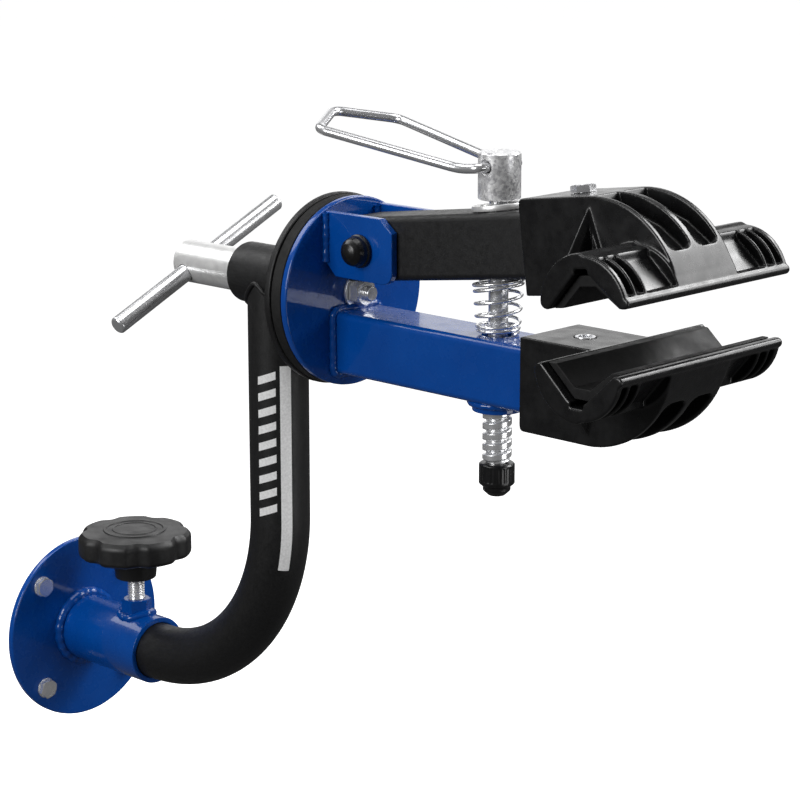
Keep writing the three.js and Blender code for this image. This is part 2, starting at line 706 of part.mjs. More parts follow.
const stand = new THREE.Group();
const lowerJaw = jawAssembly("lower");
lowerJaw.position.set(LOWER_JAW_X, 0, LOWER_ARM.z);
stand.add(wallBracket(), clampScrew(), armPieces(), headStack(), teeHandle(), pivotPieces());
stand.add(lowerArm(), lowerJaw, upperArmGroup(), spindlePieces(), bail(), spring());

export default stand;
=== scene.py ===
# Looks of the wall-mounted bicycle repair clamp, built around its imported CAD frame.
# Shapes are drawn in millimetres and put in place in metres.

import math

import bmesh
import bpy
from mathutils import Matrix, Vector


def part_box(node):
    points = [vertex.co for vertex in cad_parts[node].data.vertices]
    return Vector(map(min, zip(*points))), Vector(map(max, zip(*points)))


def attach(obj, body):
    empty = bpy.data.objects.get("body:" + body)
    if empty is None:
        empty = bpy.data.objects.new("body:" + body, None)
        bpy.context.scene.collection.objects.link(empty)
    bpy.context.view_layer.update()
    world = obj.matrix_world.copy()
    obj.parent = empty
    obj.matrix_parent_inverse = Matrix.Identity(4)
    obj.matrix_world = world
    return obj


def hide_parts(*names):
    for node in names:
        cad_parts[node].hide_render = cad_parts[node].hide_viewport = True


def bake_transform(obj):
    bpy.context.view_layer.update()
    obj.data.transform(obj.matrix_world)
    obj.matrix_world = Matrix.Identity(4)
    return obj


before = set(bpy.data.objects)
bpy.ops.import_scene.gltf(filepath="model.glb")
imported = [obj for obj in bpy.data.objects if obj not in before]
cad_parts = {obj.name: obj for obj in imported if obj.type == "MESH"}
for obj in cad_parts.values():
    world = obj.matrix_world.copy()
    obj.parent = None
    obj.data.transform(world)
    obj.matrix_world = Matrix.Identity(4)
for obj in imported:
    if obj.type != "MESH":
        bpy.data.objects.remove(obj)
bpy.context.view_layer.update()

MM = 0.001
AXIS_EDGE = 0.01  # a profile's nearest point to its axis, so that its ends stay closed
NOISE_LOW, NOISE_HIGH = 0.3, 0.7  # the range that most of a noise texture lies in
CORNER_SHARE = 0.45  # the most of an edge that a rounded corner takes
RIPPLE, SWELL = 0.06, 0.07  # share of a weld bead's radius
GAP = 0.3  # clearance between pieces that are fastened together
M8_FLATS = 13
ALONG_X = Matrix.Rotation(math.radians(90), 4, "Y")
ALONG_Y = Matrix.Rotation(math.radians(-90), 4, "X")
UPRIGHT = Matrix.Identity(4)


def span(node):
    """A CAD node's lowest and highest corners in millimetres."""
    low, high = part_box(node)
    return low / MM, high / MM


def middle(node):
    low, high = span(node)
    return (low + high) / 2


# ---- Materials ----


class Look:
    """A procedural material: one Principled shader fed by textures in object space."""

    def __init__(self, name, slot, base, metallic=0.0, **sockets):
        self.slot = slot
        self.material = bpy.data.materials.new(name)
        self.material.use_nodes = True
        self.tree = self.material.node_tree
        self.shader = self.tree.nodes["Principled BSDF"]
        self.shader.inputs["Base Color"].default_value = (*base, 1)
        self.shader.inputs["Metallic"].default_value = metallic
        for socket, value in sockets.items():
            self.shader.inputs[socket.replace("_", " ")].default_value = value
        self.place = self.tree.nodes.new("ShaderNodeTexCoord").outputs["Object"]
        self.height = None

    def link(self, source, target):
        self.tree.links.new(source, target)

    def noise(self, scale, detail=3.0):
        node = self.tree.nodes.new("ShaderNodeTexNoise")
        node.inputs["Scale"].default_value = scale
        node.inputs["Detail"].default_value = detail
        self.link(self.place, node.inputs["Vector"])
        return node.outputs["Fac"]

    def cells(self, scale):
        """Flat patches, each with its own grey."""
        node = self.tree.nodes.new("ShaderNodeTexVoronoi")
        node.inputs["Scale"].default_value = scale
        self.link(self.place, node.inputs["Vector"])
        grey = self.tree.nodes.new("ShaderNodeSeparateColor")
        self.link(node.outputs["Color"], grey.inputs["Color"])
        return grey.outputs["Red"]

    def roughness(self, source, low, high):
        ranged = self.tree.nodes.new("ShaderNodeMapRange")
        ranged.inputs["From Min"].default_value = NOISE_LOW
        ranged.inputs["From Max"].default_value = NOISE_HIGH
        ranged.inputs["To Min"].default_value = low
        ranged.inputs["To Max"].default_value = high
        self.link(source, ranged.inputs["Value"])
        self.link(ranged.outputs["Result"], self.shader.inputs["Roughness"])

    def colours(self, source, low, high, start=NOISE_LOW, end=NOISE_HIGH):
        ramp = self.tree.nodes.new("ShaderNodeValToRGB")
        ramp.color_ramp.elements[0].position = start
        ramp.color_ramp.elements[0].color = (*low, 1)
        ramp.color_ramp.elements[1].position = end
        ramp.color_ramp.elements[1].color = (*high, 1)
        self.link(source, ramp.inputs["Fac"])
        self.link(ramp.outputs["Color"], self.shader.inputs["Base Color"])

    def bump(self, source, strength, depth):
        node = self.tree.nodes.new("ShaderNodeBump")
        node.inputs["Strength"].default_value = strength
        node.inputs["Distance"].default_value = depth
        self.link(source, node.inputs["Height"])
        if self.height:
            self.link(self.height, node.inputs["Normal"])
        self.height = node.outputs["Normal"]
        self.link(self.height, self.shader.inputs["Normal"])


def enamel():
    look = Look("blue_enamel", "blue_enamel", (0.0004, 0.055, 0.3),
                Specular_IOR_Level=0.2, Coat_Weight=0.6, Coat_Roughness=0.03)
    look.colours(look.noise(34, 4), (0.0002, 0.052, 0.28), (0.0004, 0.062, 0.32))
    look.roughness(look.noise(120), 0.2, 0.34)
    look.bump(look.noise(60, 2), 0.1, 0.0006)
    return look


def powder_coat():
    look = Look("black_powder_coat", "black_powder_coat", (0.008, 0.008, 0.008), Specular_IOR_Level=0.35)
    look.colours(look.noise(900, 3), (0.005, 0.005, 0.0052), (0.0125, 0.0125, 0.013))
    look.roughness(look.noise(260), 0.36, 0.52)
    look.bump(look.noise(2300, 2), 0.45, 0.00025)
    return look


def moulded(name, base, low, high, grain, slot="black_nylon", gloss=0.45):
    look = Look(name, slot, base, Specular_IOR_Level=gloss)
    mottled = [1.9 * c for c in base]
    look.colours(look.noise(300, 5), base, mottled)
    look.roughness(look.noise(90, 4), low, high)
    look.bump(look.noise(1500, 2), grain, 0.0002)
    look.bump(look.noise(45, 2), 0.15, 0.0006)
    return look


def plated(name, metallic, low, high, cell_scale, flecks, grain=0.0):
    """Zinc with crystal cells between two flecks of grey."""
    look = Look(name, "zinc_plate", (0.72, 0.73, 0.75), metallic)
    look.colours(look.cells(cell_scale), *flecks, 0.0, 1.0)
    look.roughness(look.noise(160, 2), low, high)
    if grain:
        look.bump(look.noise(220, 1), grain, 0.0002)
    return look


def polished():
    look = Look("bright_steel", "bright_steel", (0.8, 0.8, 0.82), 0.8)
    look.colours(look.noise(60, 2), (0.74, 0.75, 0.76), (0.86, 0.86, 0.88))
    look.roughness(look.noise(30, 1), 0.2, 0.25)
    return look


def print_white():
    look = Look("white_print", "black_powder_coat", (0.85, 0.85, 0.85))
    look.colours(look.noise(700, 4), (0.72, 0.72, 0.72), (0.9, 0.9, 0.9))
    look.roughness(look.noise(300), 0.35, 0.5)
    look.bump(look.noise(2300, 2), 0.25, 0.0002)
    return look


BLUE = enamel()
POWDER = powder_coat()
NYLON = moulded("black_nylon", (0.0042, 0.0042, 0.0045), 0.2, 0.34, 0.12)
KNOB_NYLON = moulded("knob_nylon", (0.0075, 0.0075, 0.0078), 0.34, 0.5, 0.35)
RUBBER = moulded("black_rubber", (0.0055, 0.0055, 0.0057), 0.45, 0.62, 0.3, "black_rubber", 0.22)
FIBRE = moulded("friction_lining", (0.006, 0.006, 0.006), 0.6, 0.8, 0.9, "black_rubber", 0.3)
ZINC = plated("zinc_plate", 0.76, 0.2, 0.28, 260, ((0.84, 0.85, 0.87), (0.95, 0.95, 0.96)))
SPANGLE = plated("spangled_zinc", 0.5, 0.2, 0.4, 620, ((0.5, 0.5, 0.52), (1.0, 1.0, 1.0)), 0.2)
BARREL_ZINC = plated("satin_zinc", 0.62, 0.3, 0.42, 300, ((0.8, 0.8, 0.8), (0.88, 0.88, 0.87)))
STEEL = polished()
PRINT = print_white()

# ---- Mesh helpers ----


def face_outwards(mesh):
    work = bmesh.new()
    work.from_mesh(mesh)
    bmesh.ops.recalc_face_normals(work, faces=work.faces)
    work.to_mesh(mesh)
    work.free()


def raw(name, verts, faces):
    mesh = bpy.data.meshes.new(name)
    mesh.from_pydata([tuple(v) for v in verts], [], faces)
    obj = bpy.data.objects.new(name, mesh)
    bpy.context.scene.collection.objects.link(obj)
    face_outwards(mesh)
    return obj


def applied(obj):
    """Bakes an object's modifiers into its mesh."""
    graph = bpy.context.evaluated_depsgraph_get()
    made = bpy.data.meshes.new_from_object(obj.evaluated_get(graph))
    obj.modifiers.clear()
    obj.data = made
    return obj


def combine(obj, operation, *others):
    """Cuts, joins or intersects obj with the others, which are used up."""
    for other in others:
        modifier = obj.modifiers.new("boolean", "BOOLEAN")
        modifier.operation = operation
        modifier.solver = "EXACT"
        modifier.object = other
        applied(obj)
        bpy.data.objects.remove(other)
    return obj


def rounded(points, radius, steps=3, closed=False):
    """A path in two or three dimensions with its corners rounded off."""
    points = [Vector(p) for p in points]
    if closed:
        triples = list(zip(points[-1:] + points[:-1], points, points[1:] + points[:1]))
    else:
        triples = list(zip(points, points[1:], points[2:]))
    out = [] if closed else [points[0]]
    for before, corner, after in triples:
        lengths = (before - corner).length, (after - corner).length
        reach = min(radius, CORNER_SHARE * min(lengths))
        start = corner + (before - corner).normalized() * reach
        end = corner + (after - corner).normalized() * reach
        for i in range(steps + 1):
            t = i / steps
            out.append((1 - t) ** 2 * start + 2 * t * (1 - t) * corner + t * t * end)
    return out if closed else out + [points[-1]]


def grid_faces(rows, columns, wrap_rows=False):
    """Quads of a grid whose columns close round."""
    faces = []
    for i in range(rows if wrap_rows else rows - 1):
        for j in range(columns):
            k, m = (j + 1) % columns, (i + 1) % rows
            faces.append((i * columns + j, i * columns + k, m * columns + k, m * columns + j))
    return faces


def turned(name, profile, segments=72, shape=None, closed=False):
    """A profile of (radius, height) turned about Z. shape(angle, radius, height) changes the radius."""
    verts = []
    for radius, height in profile:
        for j in range(segments):
            angle = 2 * math.pi * j / segments
            r = shape(angle, radius, height) if shape else radius
            verts.append((r * math.cos(angle), r * math.sin(angle), height))
    faces = grid_faces(len(profile), segments, closed)
    if not closed:
        last = (len(profile) - 1) * segments
        faces.append(tuple(range(segments)))
        faces.append(tuple(range(last, last + segments)))
    return raw(name, verts, faces)


def disc(name, radius, low, high, edge):
    corners = [(AXIS_EDGE, low), (radius, low), (radius, high), (AXIS_EDGE, high)]
    return turned(name, rounded(corners, edge), 128)


def washer(name, outer, inner, low, high, edge=0.5, segments=72):
    corners = [(inner, low), (outer, low), (outer, high), (inner, high)]
    return turned(name, rounded(corners, edge, 2, True), segments, closed=True)


def cylinder(name, radius, low, high, segments=48):
    return turned(name, [(radius, low), (radius, high)], segments)


def slab(name, outline, low, high):
    """An outline in X and Z given thickness along Y."""
    count = len(outline)
    verts = [(x, y, z) for y in (low, high) for x, z in outline]
    faces = [(i, (i + 1) % count, count + (i + 1) % count, count + i) for i in range(count)]
    faces += [tuple(range(count)), tuple(range(count, 2 * count))]
    return raw(name, verts, faces)


def arc(x, z, radius, start, end, steps):
    turns = [start + (end - start) * i / steps for i in range(steps + 1)]
    return [(x + radius * math.cos(t), z + radius * math.sin(t)) for t in turns]


def sweep(name, path, radius, sides=16, closed=False, shape=None):
    """A round bar along a path. shape(share of the path) changes its radius."""
    path = [Vector(p) for p in path]
    count = len(path)
    tangents = []
    for i in range(count):
        if closed:
            tangents.append((path[(i + 1) % count] - path[i - 1]).normalized())
        else:
            tangents.append((path[min(i + 1, count - 1)] - path[max(i - 1, 0)]).normalized())
    side = tangents[0].orthogonal().normalized()
    sides_of = [side]
    for tangent in tangents[1:]:
        side = (side - tangent * side.dot(tangent)).normalized()
        sides_of.append(side)
    twist = 0.0
    if closed:
        back = (side - tangents[0] * side.dot(tangents[0])).normalized()
        twist = math.atan2(back.cross(sides_of[0]).dot(tangents[0]), back.dot(sides_of[0]))
    verts = []
    for i in range(count):
        across = tangents[i].cross(sides_of[i])
        r = radius * (shape(i / count) if shape else 1)
        for j in range(sides):
            angle = 2 * math.pi * j / sides + twist * i / count
            verts.append(path[i] + r * (math.cos(angle) * sides_of[i] + math.sin(angle) * across))
    faces = grid_faces(count, sides, closed)
    if not closed:
        last = (count - 1) * sides
        faces += [tuple(range(sides)), tuple(range(last, last + sides))]
    return raw(name, verts, faces)


def bead(name, path, radius, ripples, closed=True):
    """A weld bead: a bar with the even ripples that a torch leaves."""
    def shape(share):
        ripple = RIPPLE * math.cos(2 * math.pi * ripples * share)
        return 1 + ripple + SWELL * math.sin(4 * math.pi * share + 1)

    return sweep(name, path, radius, 12, closed, shape)


def circle(radius, height, steps=120):
    turns = [2 * math.pi * i / steps for i in range(steps)]
    return [(radius * math.cos(t), radius * math.sin(t), height) for t in turns]


def threaded(name, root, crest, pitch, low, high, flat, sides=48, steps=10):
    """A screw thread. flat is the share of each turn that its crest takes, 0 for a pointed one."""
    fade, flank = 0.3 * pitch, 0.34
    rows = int((high - low) / pitch * steps)
    verts = []
    for i in range(rows + 1):
        height = low + (high - low) * i / rows
        ends = min(1.0, (height - low) / fade, (high - height) / fade)
        for j in range(sides):
            share = (height / pitch - j / sides) % 1.0
            ridge = abs(2 * share - 1)
            if flat:
                ridge = min(1.0, max(0.0, (ridge - 0.5 * (1 - flat)) / flank + 0.5))
            rise = ridge * ridge * (3 - 2 * ridge)
            r = root + (crest - root) * rise * ends
            angle = 2 * math.pi * j / sides
            verts.append((r * math.cos(angle), r * math.sin(angle), height))
    faces = grid_faces(rows + 1, sides)
    last = rows * sides
    faces += [tuple(range(sides)), tuple(range(last, last + sides))]
    return raw(name, verts, faces)


def hexagon(name, flats, low, high, chamfer):
    """A hexagon prism with the round chamfer that a nut or a bolt head has on its top corners."""
    corner = flats / math.sqrt(3)
    turns = [math.pi / 3 * j for j in range(6)]
    verts = [(corner * math.cos(t), corner * math.sin(t), z) for z in (low, high) for t in turns]
    prism = raw(name, verts, grid_faces(2, 6) + [tuple(range(6)), tuple(range(6, 12))])
    outside, face = corner + 0.2, 0.94 * flats / 2
    profile = [(outside, low), (outside, high - chamfer), (face, high)]
    return combine(prism, "INTERSECT", turned("cone", profile, 48))


def joined(obj, *others):
    """Puts the others' shells into obj's mesh."""
    work = bmesh.new()
    for part in (obj, *others):
        work.from_mesh(part.data)
    work.to_mesh(obj.data)
    work.free()
    for other in others:
        bpy.data.objects.remove(other)
    return obj


def piece(obj, look, body, *nodes, place=UPRIGHT, edge=0.0, sharp=38):
    """Places a shape drawn in millimetres, shades and dresses it, and rides it on its body if it has one.

    edge bevels it by that much. Without a bevel, an edge over sharp degrees stays sharp."""
    obj.data.transform(Matrix.Scale(MM, 4) @ place)
    mesh = obj.data
    work = bmesh.new()
    work.from_mesh(mesh)
    for face in work.faces:
        face.smooth = True
    for line in work.edges:
        if len(line.link_faces) == 2:
            line.smooth = bool(edge) or line.calc_face_angle() < math.radians(sharp)
    work.to_mesh(mesh)
    work.free()
    if edge:
        bevel = obj.modifiers.new("edges", "BEVEL")
        bevel.width = edge * MM
        bevel.segments = 3
        bevel.limit_method = "ANGLE"
        bevel.angle_limit = math.radians(30)
    normals = obj.modifiers.new("normals", "WEIGHTED_NORMAL")
    normals.keep_sharp = True
    mesh.materials.clear()
    mesh.materials.append(look.material)
    if body:
        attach(obj, body)
    if nodes:
        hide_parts(*nodes)
    return obj


def dress(node, look):
    """Gives a CAD node that keeps its own shape a finish and broken edges."""
    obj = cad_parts[node]
    weld = obj.modifiers.new("weld", "WELD")
    weld.merge_threshold = 0.001 * MM
    flat = obj.modifiers.new("flat", "DECIMATE")
    flat.decimate_type = "DISSOLVE"
    flat.angle_limit = math.radians(0.5)
    bevel = obj.modifiers.new("edges", "BEVEL")
    bevel.width = 0.35 * MM
    bevel.segments = 2
    bevel.limit_method = "ANGLE"
    bevel.angle_limit = math.radians(40)
    obj.data.materials.clear()
    obj.data.materials.append(look.material)


def at(x, y, z, turn=UPRIGHT):
    return Matrix.Translation((x, y, z)) @ turn


# ---- Wall bracket ----

flange_high = span("wall_flange")[1]
WALL = at(0, 0, 0, ALONG_X)
WALL_BOLT_R, WALL_HOLE_R, WALL_COLLAR_R = 4, 4.5, 7.4
SOCKET_BORE_R = 20.3
plate = disc("flange_plate", flange_high.y, 0, flange_high.x, 1.2)
for index in range(4):
    bolt_at = middle(f"wall_bolt_{index + 1}")
    hole = cylinder("hole", WALL_HOLE_R, -1, flange_high.x + 1, 32)
    hole.data.transform(Matrix.Translation((-bolt_at.z, bolt_at.y, 0)))
    combine(plate, "DIFFERENCE", hole)
piece(plate, BLUE, "wall_bracket", "wall_flange", place=WALL)

for index in range(4):
    name = f"wall_bolt_{index + 1}"
    low, high = span(name)
    centre = middle(name)
    head = hexagon(name + "_head", M8_FLATS, flange_high.x + GAP, high.x, 1.0)
    shank = cylinder("shank", WALL_BOLT_R, low.x + 0.1, flange_high.x + 1, 24)
    collar_low, collar_high = flange_high.x + 0.05, flange_high.x + 1.1
    collar = washer("collar", WALL_COLLAR_R, WALL_BOLT_R - 0.1, collar_low, collar_high, 0.3)
    bolt = joined(head, shank, collar)
    turn = Matrix.Rotation(0.4 * index, 4, "Z")
    piece(bolt, ZINC, "wall_bracket", name, place=at(0, centre.y, centre.z, ALONG_X) @ turn, sharp=20)

SOCKET_END, SOCKET_R, _ = span("wall_socket")[1]
socket = washer("socket_tube", SOCKET_R, SOCKET_BORE_R, flange_high.x + 0.1, SOCKET_END, 0.9, 96)
piece(socket, BLUE, "wall_bracket", "wall_socket", place=WALL)
weld = bead("socket_weld", circle(SOCKET_R + 0.9, flange_high.x + 1.0), radius=3.9, ripples=22)
piece(weld, BLUE, "wall_bracket", place=WALL)

knob_at = middle("clamp_knob")
NUT_FLATS, NUT_SEAT = 19, 21.4  # the seat is sunk into the socket's wall
clamp_nut = hexagon("clamp_nut_hex", NUT_FLATS, NUT_SEAT, span("clamp_nut")[1].z, 1.3)
combine(clamp_nut, "DIFFERENCE", cylinder("bore", radius=6.3, low=10, high=50, segments=40))
piece(clamp_nut, BLUE, "wall_bracket", "clamp_nut", place=at(knob_at.x, 0, 0), edge=0.4)
saddle = []
for i in range(96):
    t = 2 * math.pi * i / 96
    reach = 10.6 + 0.9 * abs(math.cos(3 * t))
    y = reach * math.sin(t)
    saddle.append((knob_at.x + reach * math.cos(t), y, math.sqrt((SOCKET_R + 0.5) ** 2 - y * y)))
piece(bead("nut_weld", saddle, radius=3.0, ripples=11), BLUE, "wall_bracket")

# ---- Clamp knob ----

knob_low = span("clamp_knob")[0]
KNOB_R = 40.3
CROWN_R = 37.6  # where the top face starts
FLUTES, FLUTE_DEPTH, FLUTE_TURN = 7, 3.4, math.radians(-37)
KNOB_BOTTOM, KNOB_RIM = 67.0, 85.0


def finger_flutes(angle, radius, height):
    """The dips for the fingers, which fade out towards the knob's middle."""
    dip = max(0.0, math.cos(FLUTES * (angle - FLUTE_TURN))) ** 1.5
    outer = max(0.0, (radius - 0.72 * KNOB_R) / (0.28 * KNOB_R))
    return radius * (1 - FLUTE_DEPTH / KNOB_R * dip * min(1.0, outer * 1.6))


grip = [(AXIS_EDGE, KNOB_BOTTOM + 1.5), (17, KNOB_BOTTOM + 1.5), (20, KNOB_BOTTOM), (37, KNOB_BOTTOM)]
grip += [(KNOB_R, KNOB_BOTTOM + 2.2), (KNOB_R, KNOB_RIM - 3.4), (CROWN_R, KNOB_RIM)]
grip = rounded(grip, 2.2, 4)[:-1]
grip += [(r, KNOB_RIM + 0.06 * (CROWN_R - r)) for r in (37.4, 35, 32.5, 30, 28, 26)]
emboss = [(22.6, 85.95), (22.2, 86.6), (20.4, 86.7), (20, 86.1), (16.2, 86.2), (15.9, 86.65)]
emboss += [(14.9, 86.7), (14.6, 86.25), (8, 86.35), (AXIS_EDGE, 86.4)]
knob = turned("knob_grip", grip + rounded(emboss, 0.2, 2), 280, finger_flutes)
collar = [(AXIS_EDGE, knob_low.z), (14.6, knob_low.z), (16, KNOB_BOTTOM - 2), (17.6, KNOB_BOTTOM + 2)]
joined(knob, turned("collar", rounded(collar, 1.0) + [(AXIS_EDGE, KNOB_BOTTOM + 2)], 72))
piece(knob, KNOB_NYLON, "knob", "clamp_knob", place=at(knob_at.x, 0, 0))
stud_low = span("clamp_stud")[0].z
stud = threaded("stud_thread", root=5.2, crest=6.1, pitch=1.75, low=stud_low, high=knob_low.z + 4,
                flat=0, sides=40, steps=8)
piece(stud, ZINC, "clamp_screw", "clamp_stud", place=at(knob_at.x, 0, 0), sharp=75)

# ---- Bent arm ----

arm_low, arm_high = span("arm_tube")
TUBE_R = arm_high.y
ARM_X = arm_high.x - TUBE_R
BEND_R = 127.2
BEND_X = ARM_X - BEND_R
TUBE_WALL = 2
SADDLE_R = 19.2  # the tube's top end is cut to fit round the head tube
UP = math.pi / 2  # where the bend ends and the straight part starts
HEAD_Z = middle("head_tube").z


def arm_point(length_in):
    """A point on the arm's centre line, by angle in the bend and by millimetres above it."""
    angle = min(length_in, UP)
    point = Vector((BEND_X + BEND_R * math.sin(angle), 0, BEND_R * (1 - math.cos(angle))))
    return point + Vector((0, 0, max(0.0, length_in - UP)))


path = [(arm_low.x, 0, 0), (BEND_X - 20, 0, 0), (BEND_X - 4, 0, 0)]
path += [arm_point(UP * i / 40) for i in range(41)]
path += [(ARM_X, 0, BEND_R + 4), (ARM_X, 0, 200), (ARM_X, 0, HEAD_Z - 0.5)]
tube = sweep("arm_bend", path, TUBE_R, 72)
bore_path = [(arm_low.x - 1, 0, 0), *path[1:3], path[3]]
combine(tube, "DIFFERENCE", sweep("bore", bore_path, TUBE_R - TUBE_WALL, 48))
saddle_cut = cylinder("saddle", SADDLE_R, -40, 40, 64)
saddle_cut.data.transform(at(ARM_X, 0, HEAD_Z, ALONG_X))
combine(tube, "DIFFERENCE", saddle_cut)
piece(tube, POWDER, "arm", "arm_tube")


def on_tube(length_in, turn, lift):
    """A point on the arm's skin: turn is the angle round it, from its outer side."""
    angle = min(length_in, UP)
    out = Vector((math.sin(angle), 0, -math.cos(angle)))
    around = out * math.cos(turn) + Vector((0, 1, 0)) * math.sin(turn)
    return arm_point(length_in) + around * (TUBE_R + lift)


PAINT_LIFT = 0.09


def printed(name, corners, steps=(60, 6)):
    """A patch of paint on the arm's skin between four corners, each (length, turn) in order round it."""
    rows, columns = steps
    verts, faces = [], []
    for lift in (PAINT_LIFT, -0.3):
        for i in range(rows + 1):
            for j in range(columns + 1):
                s, t = i / rows, j / columns
                left = Vector(corners[0]).lerp(Vector(corners[3]), s)
                right = Vector(corners[1]).lerp(Vector(corners[2]), s)
                verts.append(on_tube(*left.lerp(right, t), lift))
    width, layer = columns + 1, (rows + 1) * (columns + 1)
    for i in range(rows):
        for j in range(columns):
            a, b = i * width + j, (i + 1) * width + j
            faces += [(a, a + 1, b + 1, b), (layer + a, layer + b, layer + b + 1, layer + a + 1)]
    border = list(range(columns)) + [i * width + columns for i in range(rows)]
    border += [rows * width + j for j in range(columns, 0, -1)] + [i * width for i in range(rows, 0, -1)]
    for a, b in zip(border, border[1:] + border[:1]):
        faces.append((a, layer + a, layer + b, b))
    return raw(name, verts, faces)


STRIPE_BOTTOM, STRIPE_TOP = UP - 0.24, UP + 106
STRIPE = (-0.72, -0.35)  # the stripe's two edges, in radians round the tube
MARK = (-1.5, -0.86)  # the slanted marks' two ends, likewise
MARK_PITCH, MARK_HEIGHT, MARK_LEAN = 11.2, 5.4, 4.6


def band(start, end):
    return [(start, STRIPE[0]), (start, STRIPE[1]), (end, STRIPE[1]), (end, STRIPE[0])]


piece(printed("white_stripe_bend", band(STRIPE_BOTTOM, UP), (14, 6)), PRINT, "arm")
piece(printed("white_stripe", band(UP, STRIPE_TOP)), PRINT, "arm")
for index in range(9):
    start = UP + 3 + MARK_PITCH * index
    mark = [(start, MARK[0]), (start + MARK_LEAN, MARK[1])]
    mark += [(start + MARK_LEAN + MARK_HEIGHT, MARK[1]), (start + MARK_HEIGHT, MARK[0])]
    piece(printed(f"white_mark_{index + 1}", mark, (6, 8)), PRINT, "arm")

# ---- Head tube and discs ----

AXIS = at(0, 0, HEAD_Z, ALONG_X)


def about_axis(node, name, look, body, edge, inner=None):
    """A disc, or a ring where inner is given, as wide and as long as its CAD node."""
    low, high = span(node)
    radius = (high.y - low.y) / 2
    if inner is None:
        made = disc(name, radius, low.x, high.x, edge)
    else:
        made = washer(name, radius, inner, low.x, high.x, edge, 96)
    return piece(made, look, body, node, place=AXIS)


about_axis("head_tube", "head_barrel", POWDER, "arm", 0.8, 18)
about_axis("rear_plate", "backing_plate", POWDER, "arm", 1.0)
about_axis("friction_disc", "friction_lining", FIBRE, "arm", 0.9)
about_axis("clamp_disc", "face_disc", BLUE, "head", 1.2)
about_axis("centre_washer", "tie_washer", ZINC, "head", 0.4, 5.3)
about_axis("thrust_washer", "tee_washer_ring", ZINC, "tee_washer", 0.5, 5.3)
tube_front = span("head_tube")[1].x
weld = bead("plate_weld", circle(TUBE_R + 0.9, tube_front - 1.2), radius=2.2, ripples=24)
piece(weld, POWDER, "arm", place=AXIS)
joint = []
for i in range(120):
    t = 2 * math.pi * i / 120
    x, y = (TUBE_R + 0.4) * math.cos(t), (TUBE_R + 0.4) * math.sin(t)
    drop = math.sqrt(max(0.0, (TUBE_R + 0.5) ** 2 - y * y))
    joint.append((ARM_X + x, y, HEAD_Z - drop))
piece(bead("arm_weld", joint, radius=1.7, ripples=30), POWDER, "arm")

low, high = span("centre_nut")
centre_nut = hexagon("tie_nut", flats=16, low=low.x, high=high.x, chamfer=1.1)
piece(centre_nut, ZINC, "head", "centre_nut", place=AXIS, sharp=20)
low, high = span("tie_bolt")
tie_bolt = threaded("tie_thread", root=4.2, crest=4.95, pitch=1.5, low=low.x, high=high.x,
                    flat=0, sides=32, steps=8)
piece(tie_bolt, ZINC, "head", "tie_bolt", place=AXIS, sharp=75)

# ---- Tee handle ----

low, high = span("tee_barrel")
BARREL_R = high.y
barrel = [(AXIS_EDGE, low.x), (BARREL_R - 2.2, low.x), (BARREL_R, low.x + 2.0)]
barrel += [(BARREL_R, high.x - 1.4), (BARREL_R - 1.4, high.x), (AXIS_EDGE, high.x)]
barrel = turned("tee_barrel_body", rounded(barrel, 0.35, 2), 96)
BAR_TILT = math.radians(24.9)
BAR_R, BAR_END = 6, 80
bar_way = Vector((0, math.cos(BAR_TILT), math.sin(BAR_TILT)))
bar_turn = bar_way.to_track_quat("Z", "Y").to_matrix().to_4x4()
bar_place = Matrix.Translation(middle("tee_bar")) @ bar_turn
hole = turned("hole", [(7.6, -16), (6.3, -12.9), (6.3, 12.9), (7.6, 16)], 48)
hole.data.transform(AXIS.inverted() @ bar_place)
combine(barrel, "DIFFERENCE", hole)
piece(barrel, BARREL_ZINC, "tee_handle", "tee_barrel", place=AXIS, sharp=28)
upper_half = [(BAR_R, BAR_END - 1.2), (BAR_R - 1.0, BAR_END), (AXIS_EDGE, BAR_END)]
ends = [(radius, -height) for radius, height in reversed(upper_half)] + upper_half
piece(turned("tee_cross_bar", rounded(ends, 0.5), 48), STEEL, "tee_handle", "tee_bar", place=bar_place)

# ---- Ears and pivot ----

EAR_CUT = 8
for side, name in ((-1, "ear_left"), (1, "ear_right")):
    low, high = span(name)
    outline = [(low.x - 0.2, high.z), (low.x - 0.2, low.z + EAR_CUT), (low.x + EAR_CUT, low.z)]
    outline += arc(high.x - EAR_CUT, low.z + EAR_CUT, EAR_CUT, -math.pi / 2, 0, 10)
    outline += [(high.x, high.z - EAR_CUT), (high.x - 10, high.z)]
    piece(slab(name + "_plate", outline, low.y, high.y), BLUE, "head", name, edge=0.7)
    for face, y in (("outer", high.y if side > 0 else low.y), ("inner", low.y if side > 0 else high.y)):
        way = 1 if y > (low.y + high.y) / 2 else -1
        bottom, rise = low.z + 9, (high.z - low.z - 10) / 30
        run = [(low.x + 0.5, y + 0.3 * way, bottom + i * rise) for i in range(31)]
        piece(bead(f"{name}_{face}_weld", run, radius=2.6, ripples=6, closed=False), BLUE, "head")

CAP_PROFILE = [(AXIS_EDGE, 0), (10.4, 0), (10.4, 1.9), (9.5, 2.5), (9.3, 5.2), (8.2, 8.4)]
CAP_PROFILE += [(5.6, 10.9), (2.5, 11.8), (AXIS_EDGE, 12)]
for side, name in ((-1, "pivot_cap_left"), (1, "pivot_cap_right")):
    low, high = span(name)
    cap_centre = middle(name)
    turn = ALONG_Y if side > 0 else Matrix.Rotation(math.radians(90), 4, "X")
    face = low.y if side > 0 else high.y
    piece(turned(name + "_dome", rounded(CAP_PROFILE, 0.8), 64), NYLON, "head", name,
          place=at(cap_centre.x, face, cap_centre.z, turn))

# ---- Square arms ----

BAR_HALF = span("lower_arm")[1].y


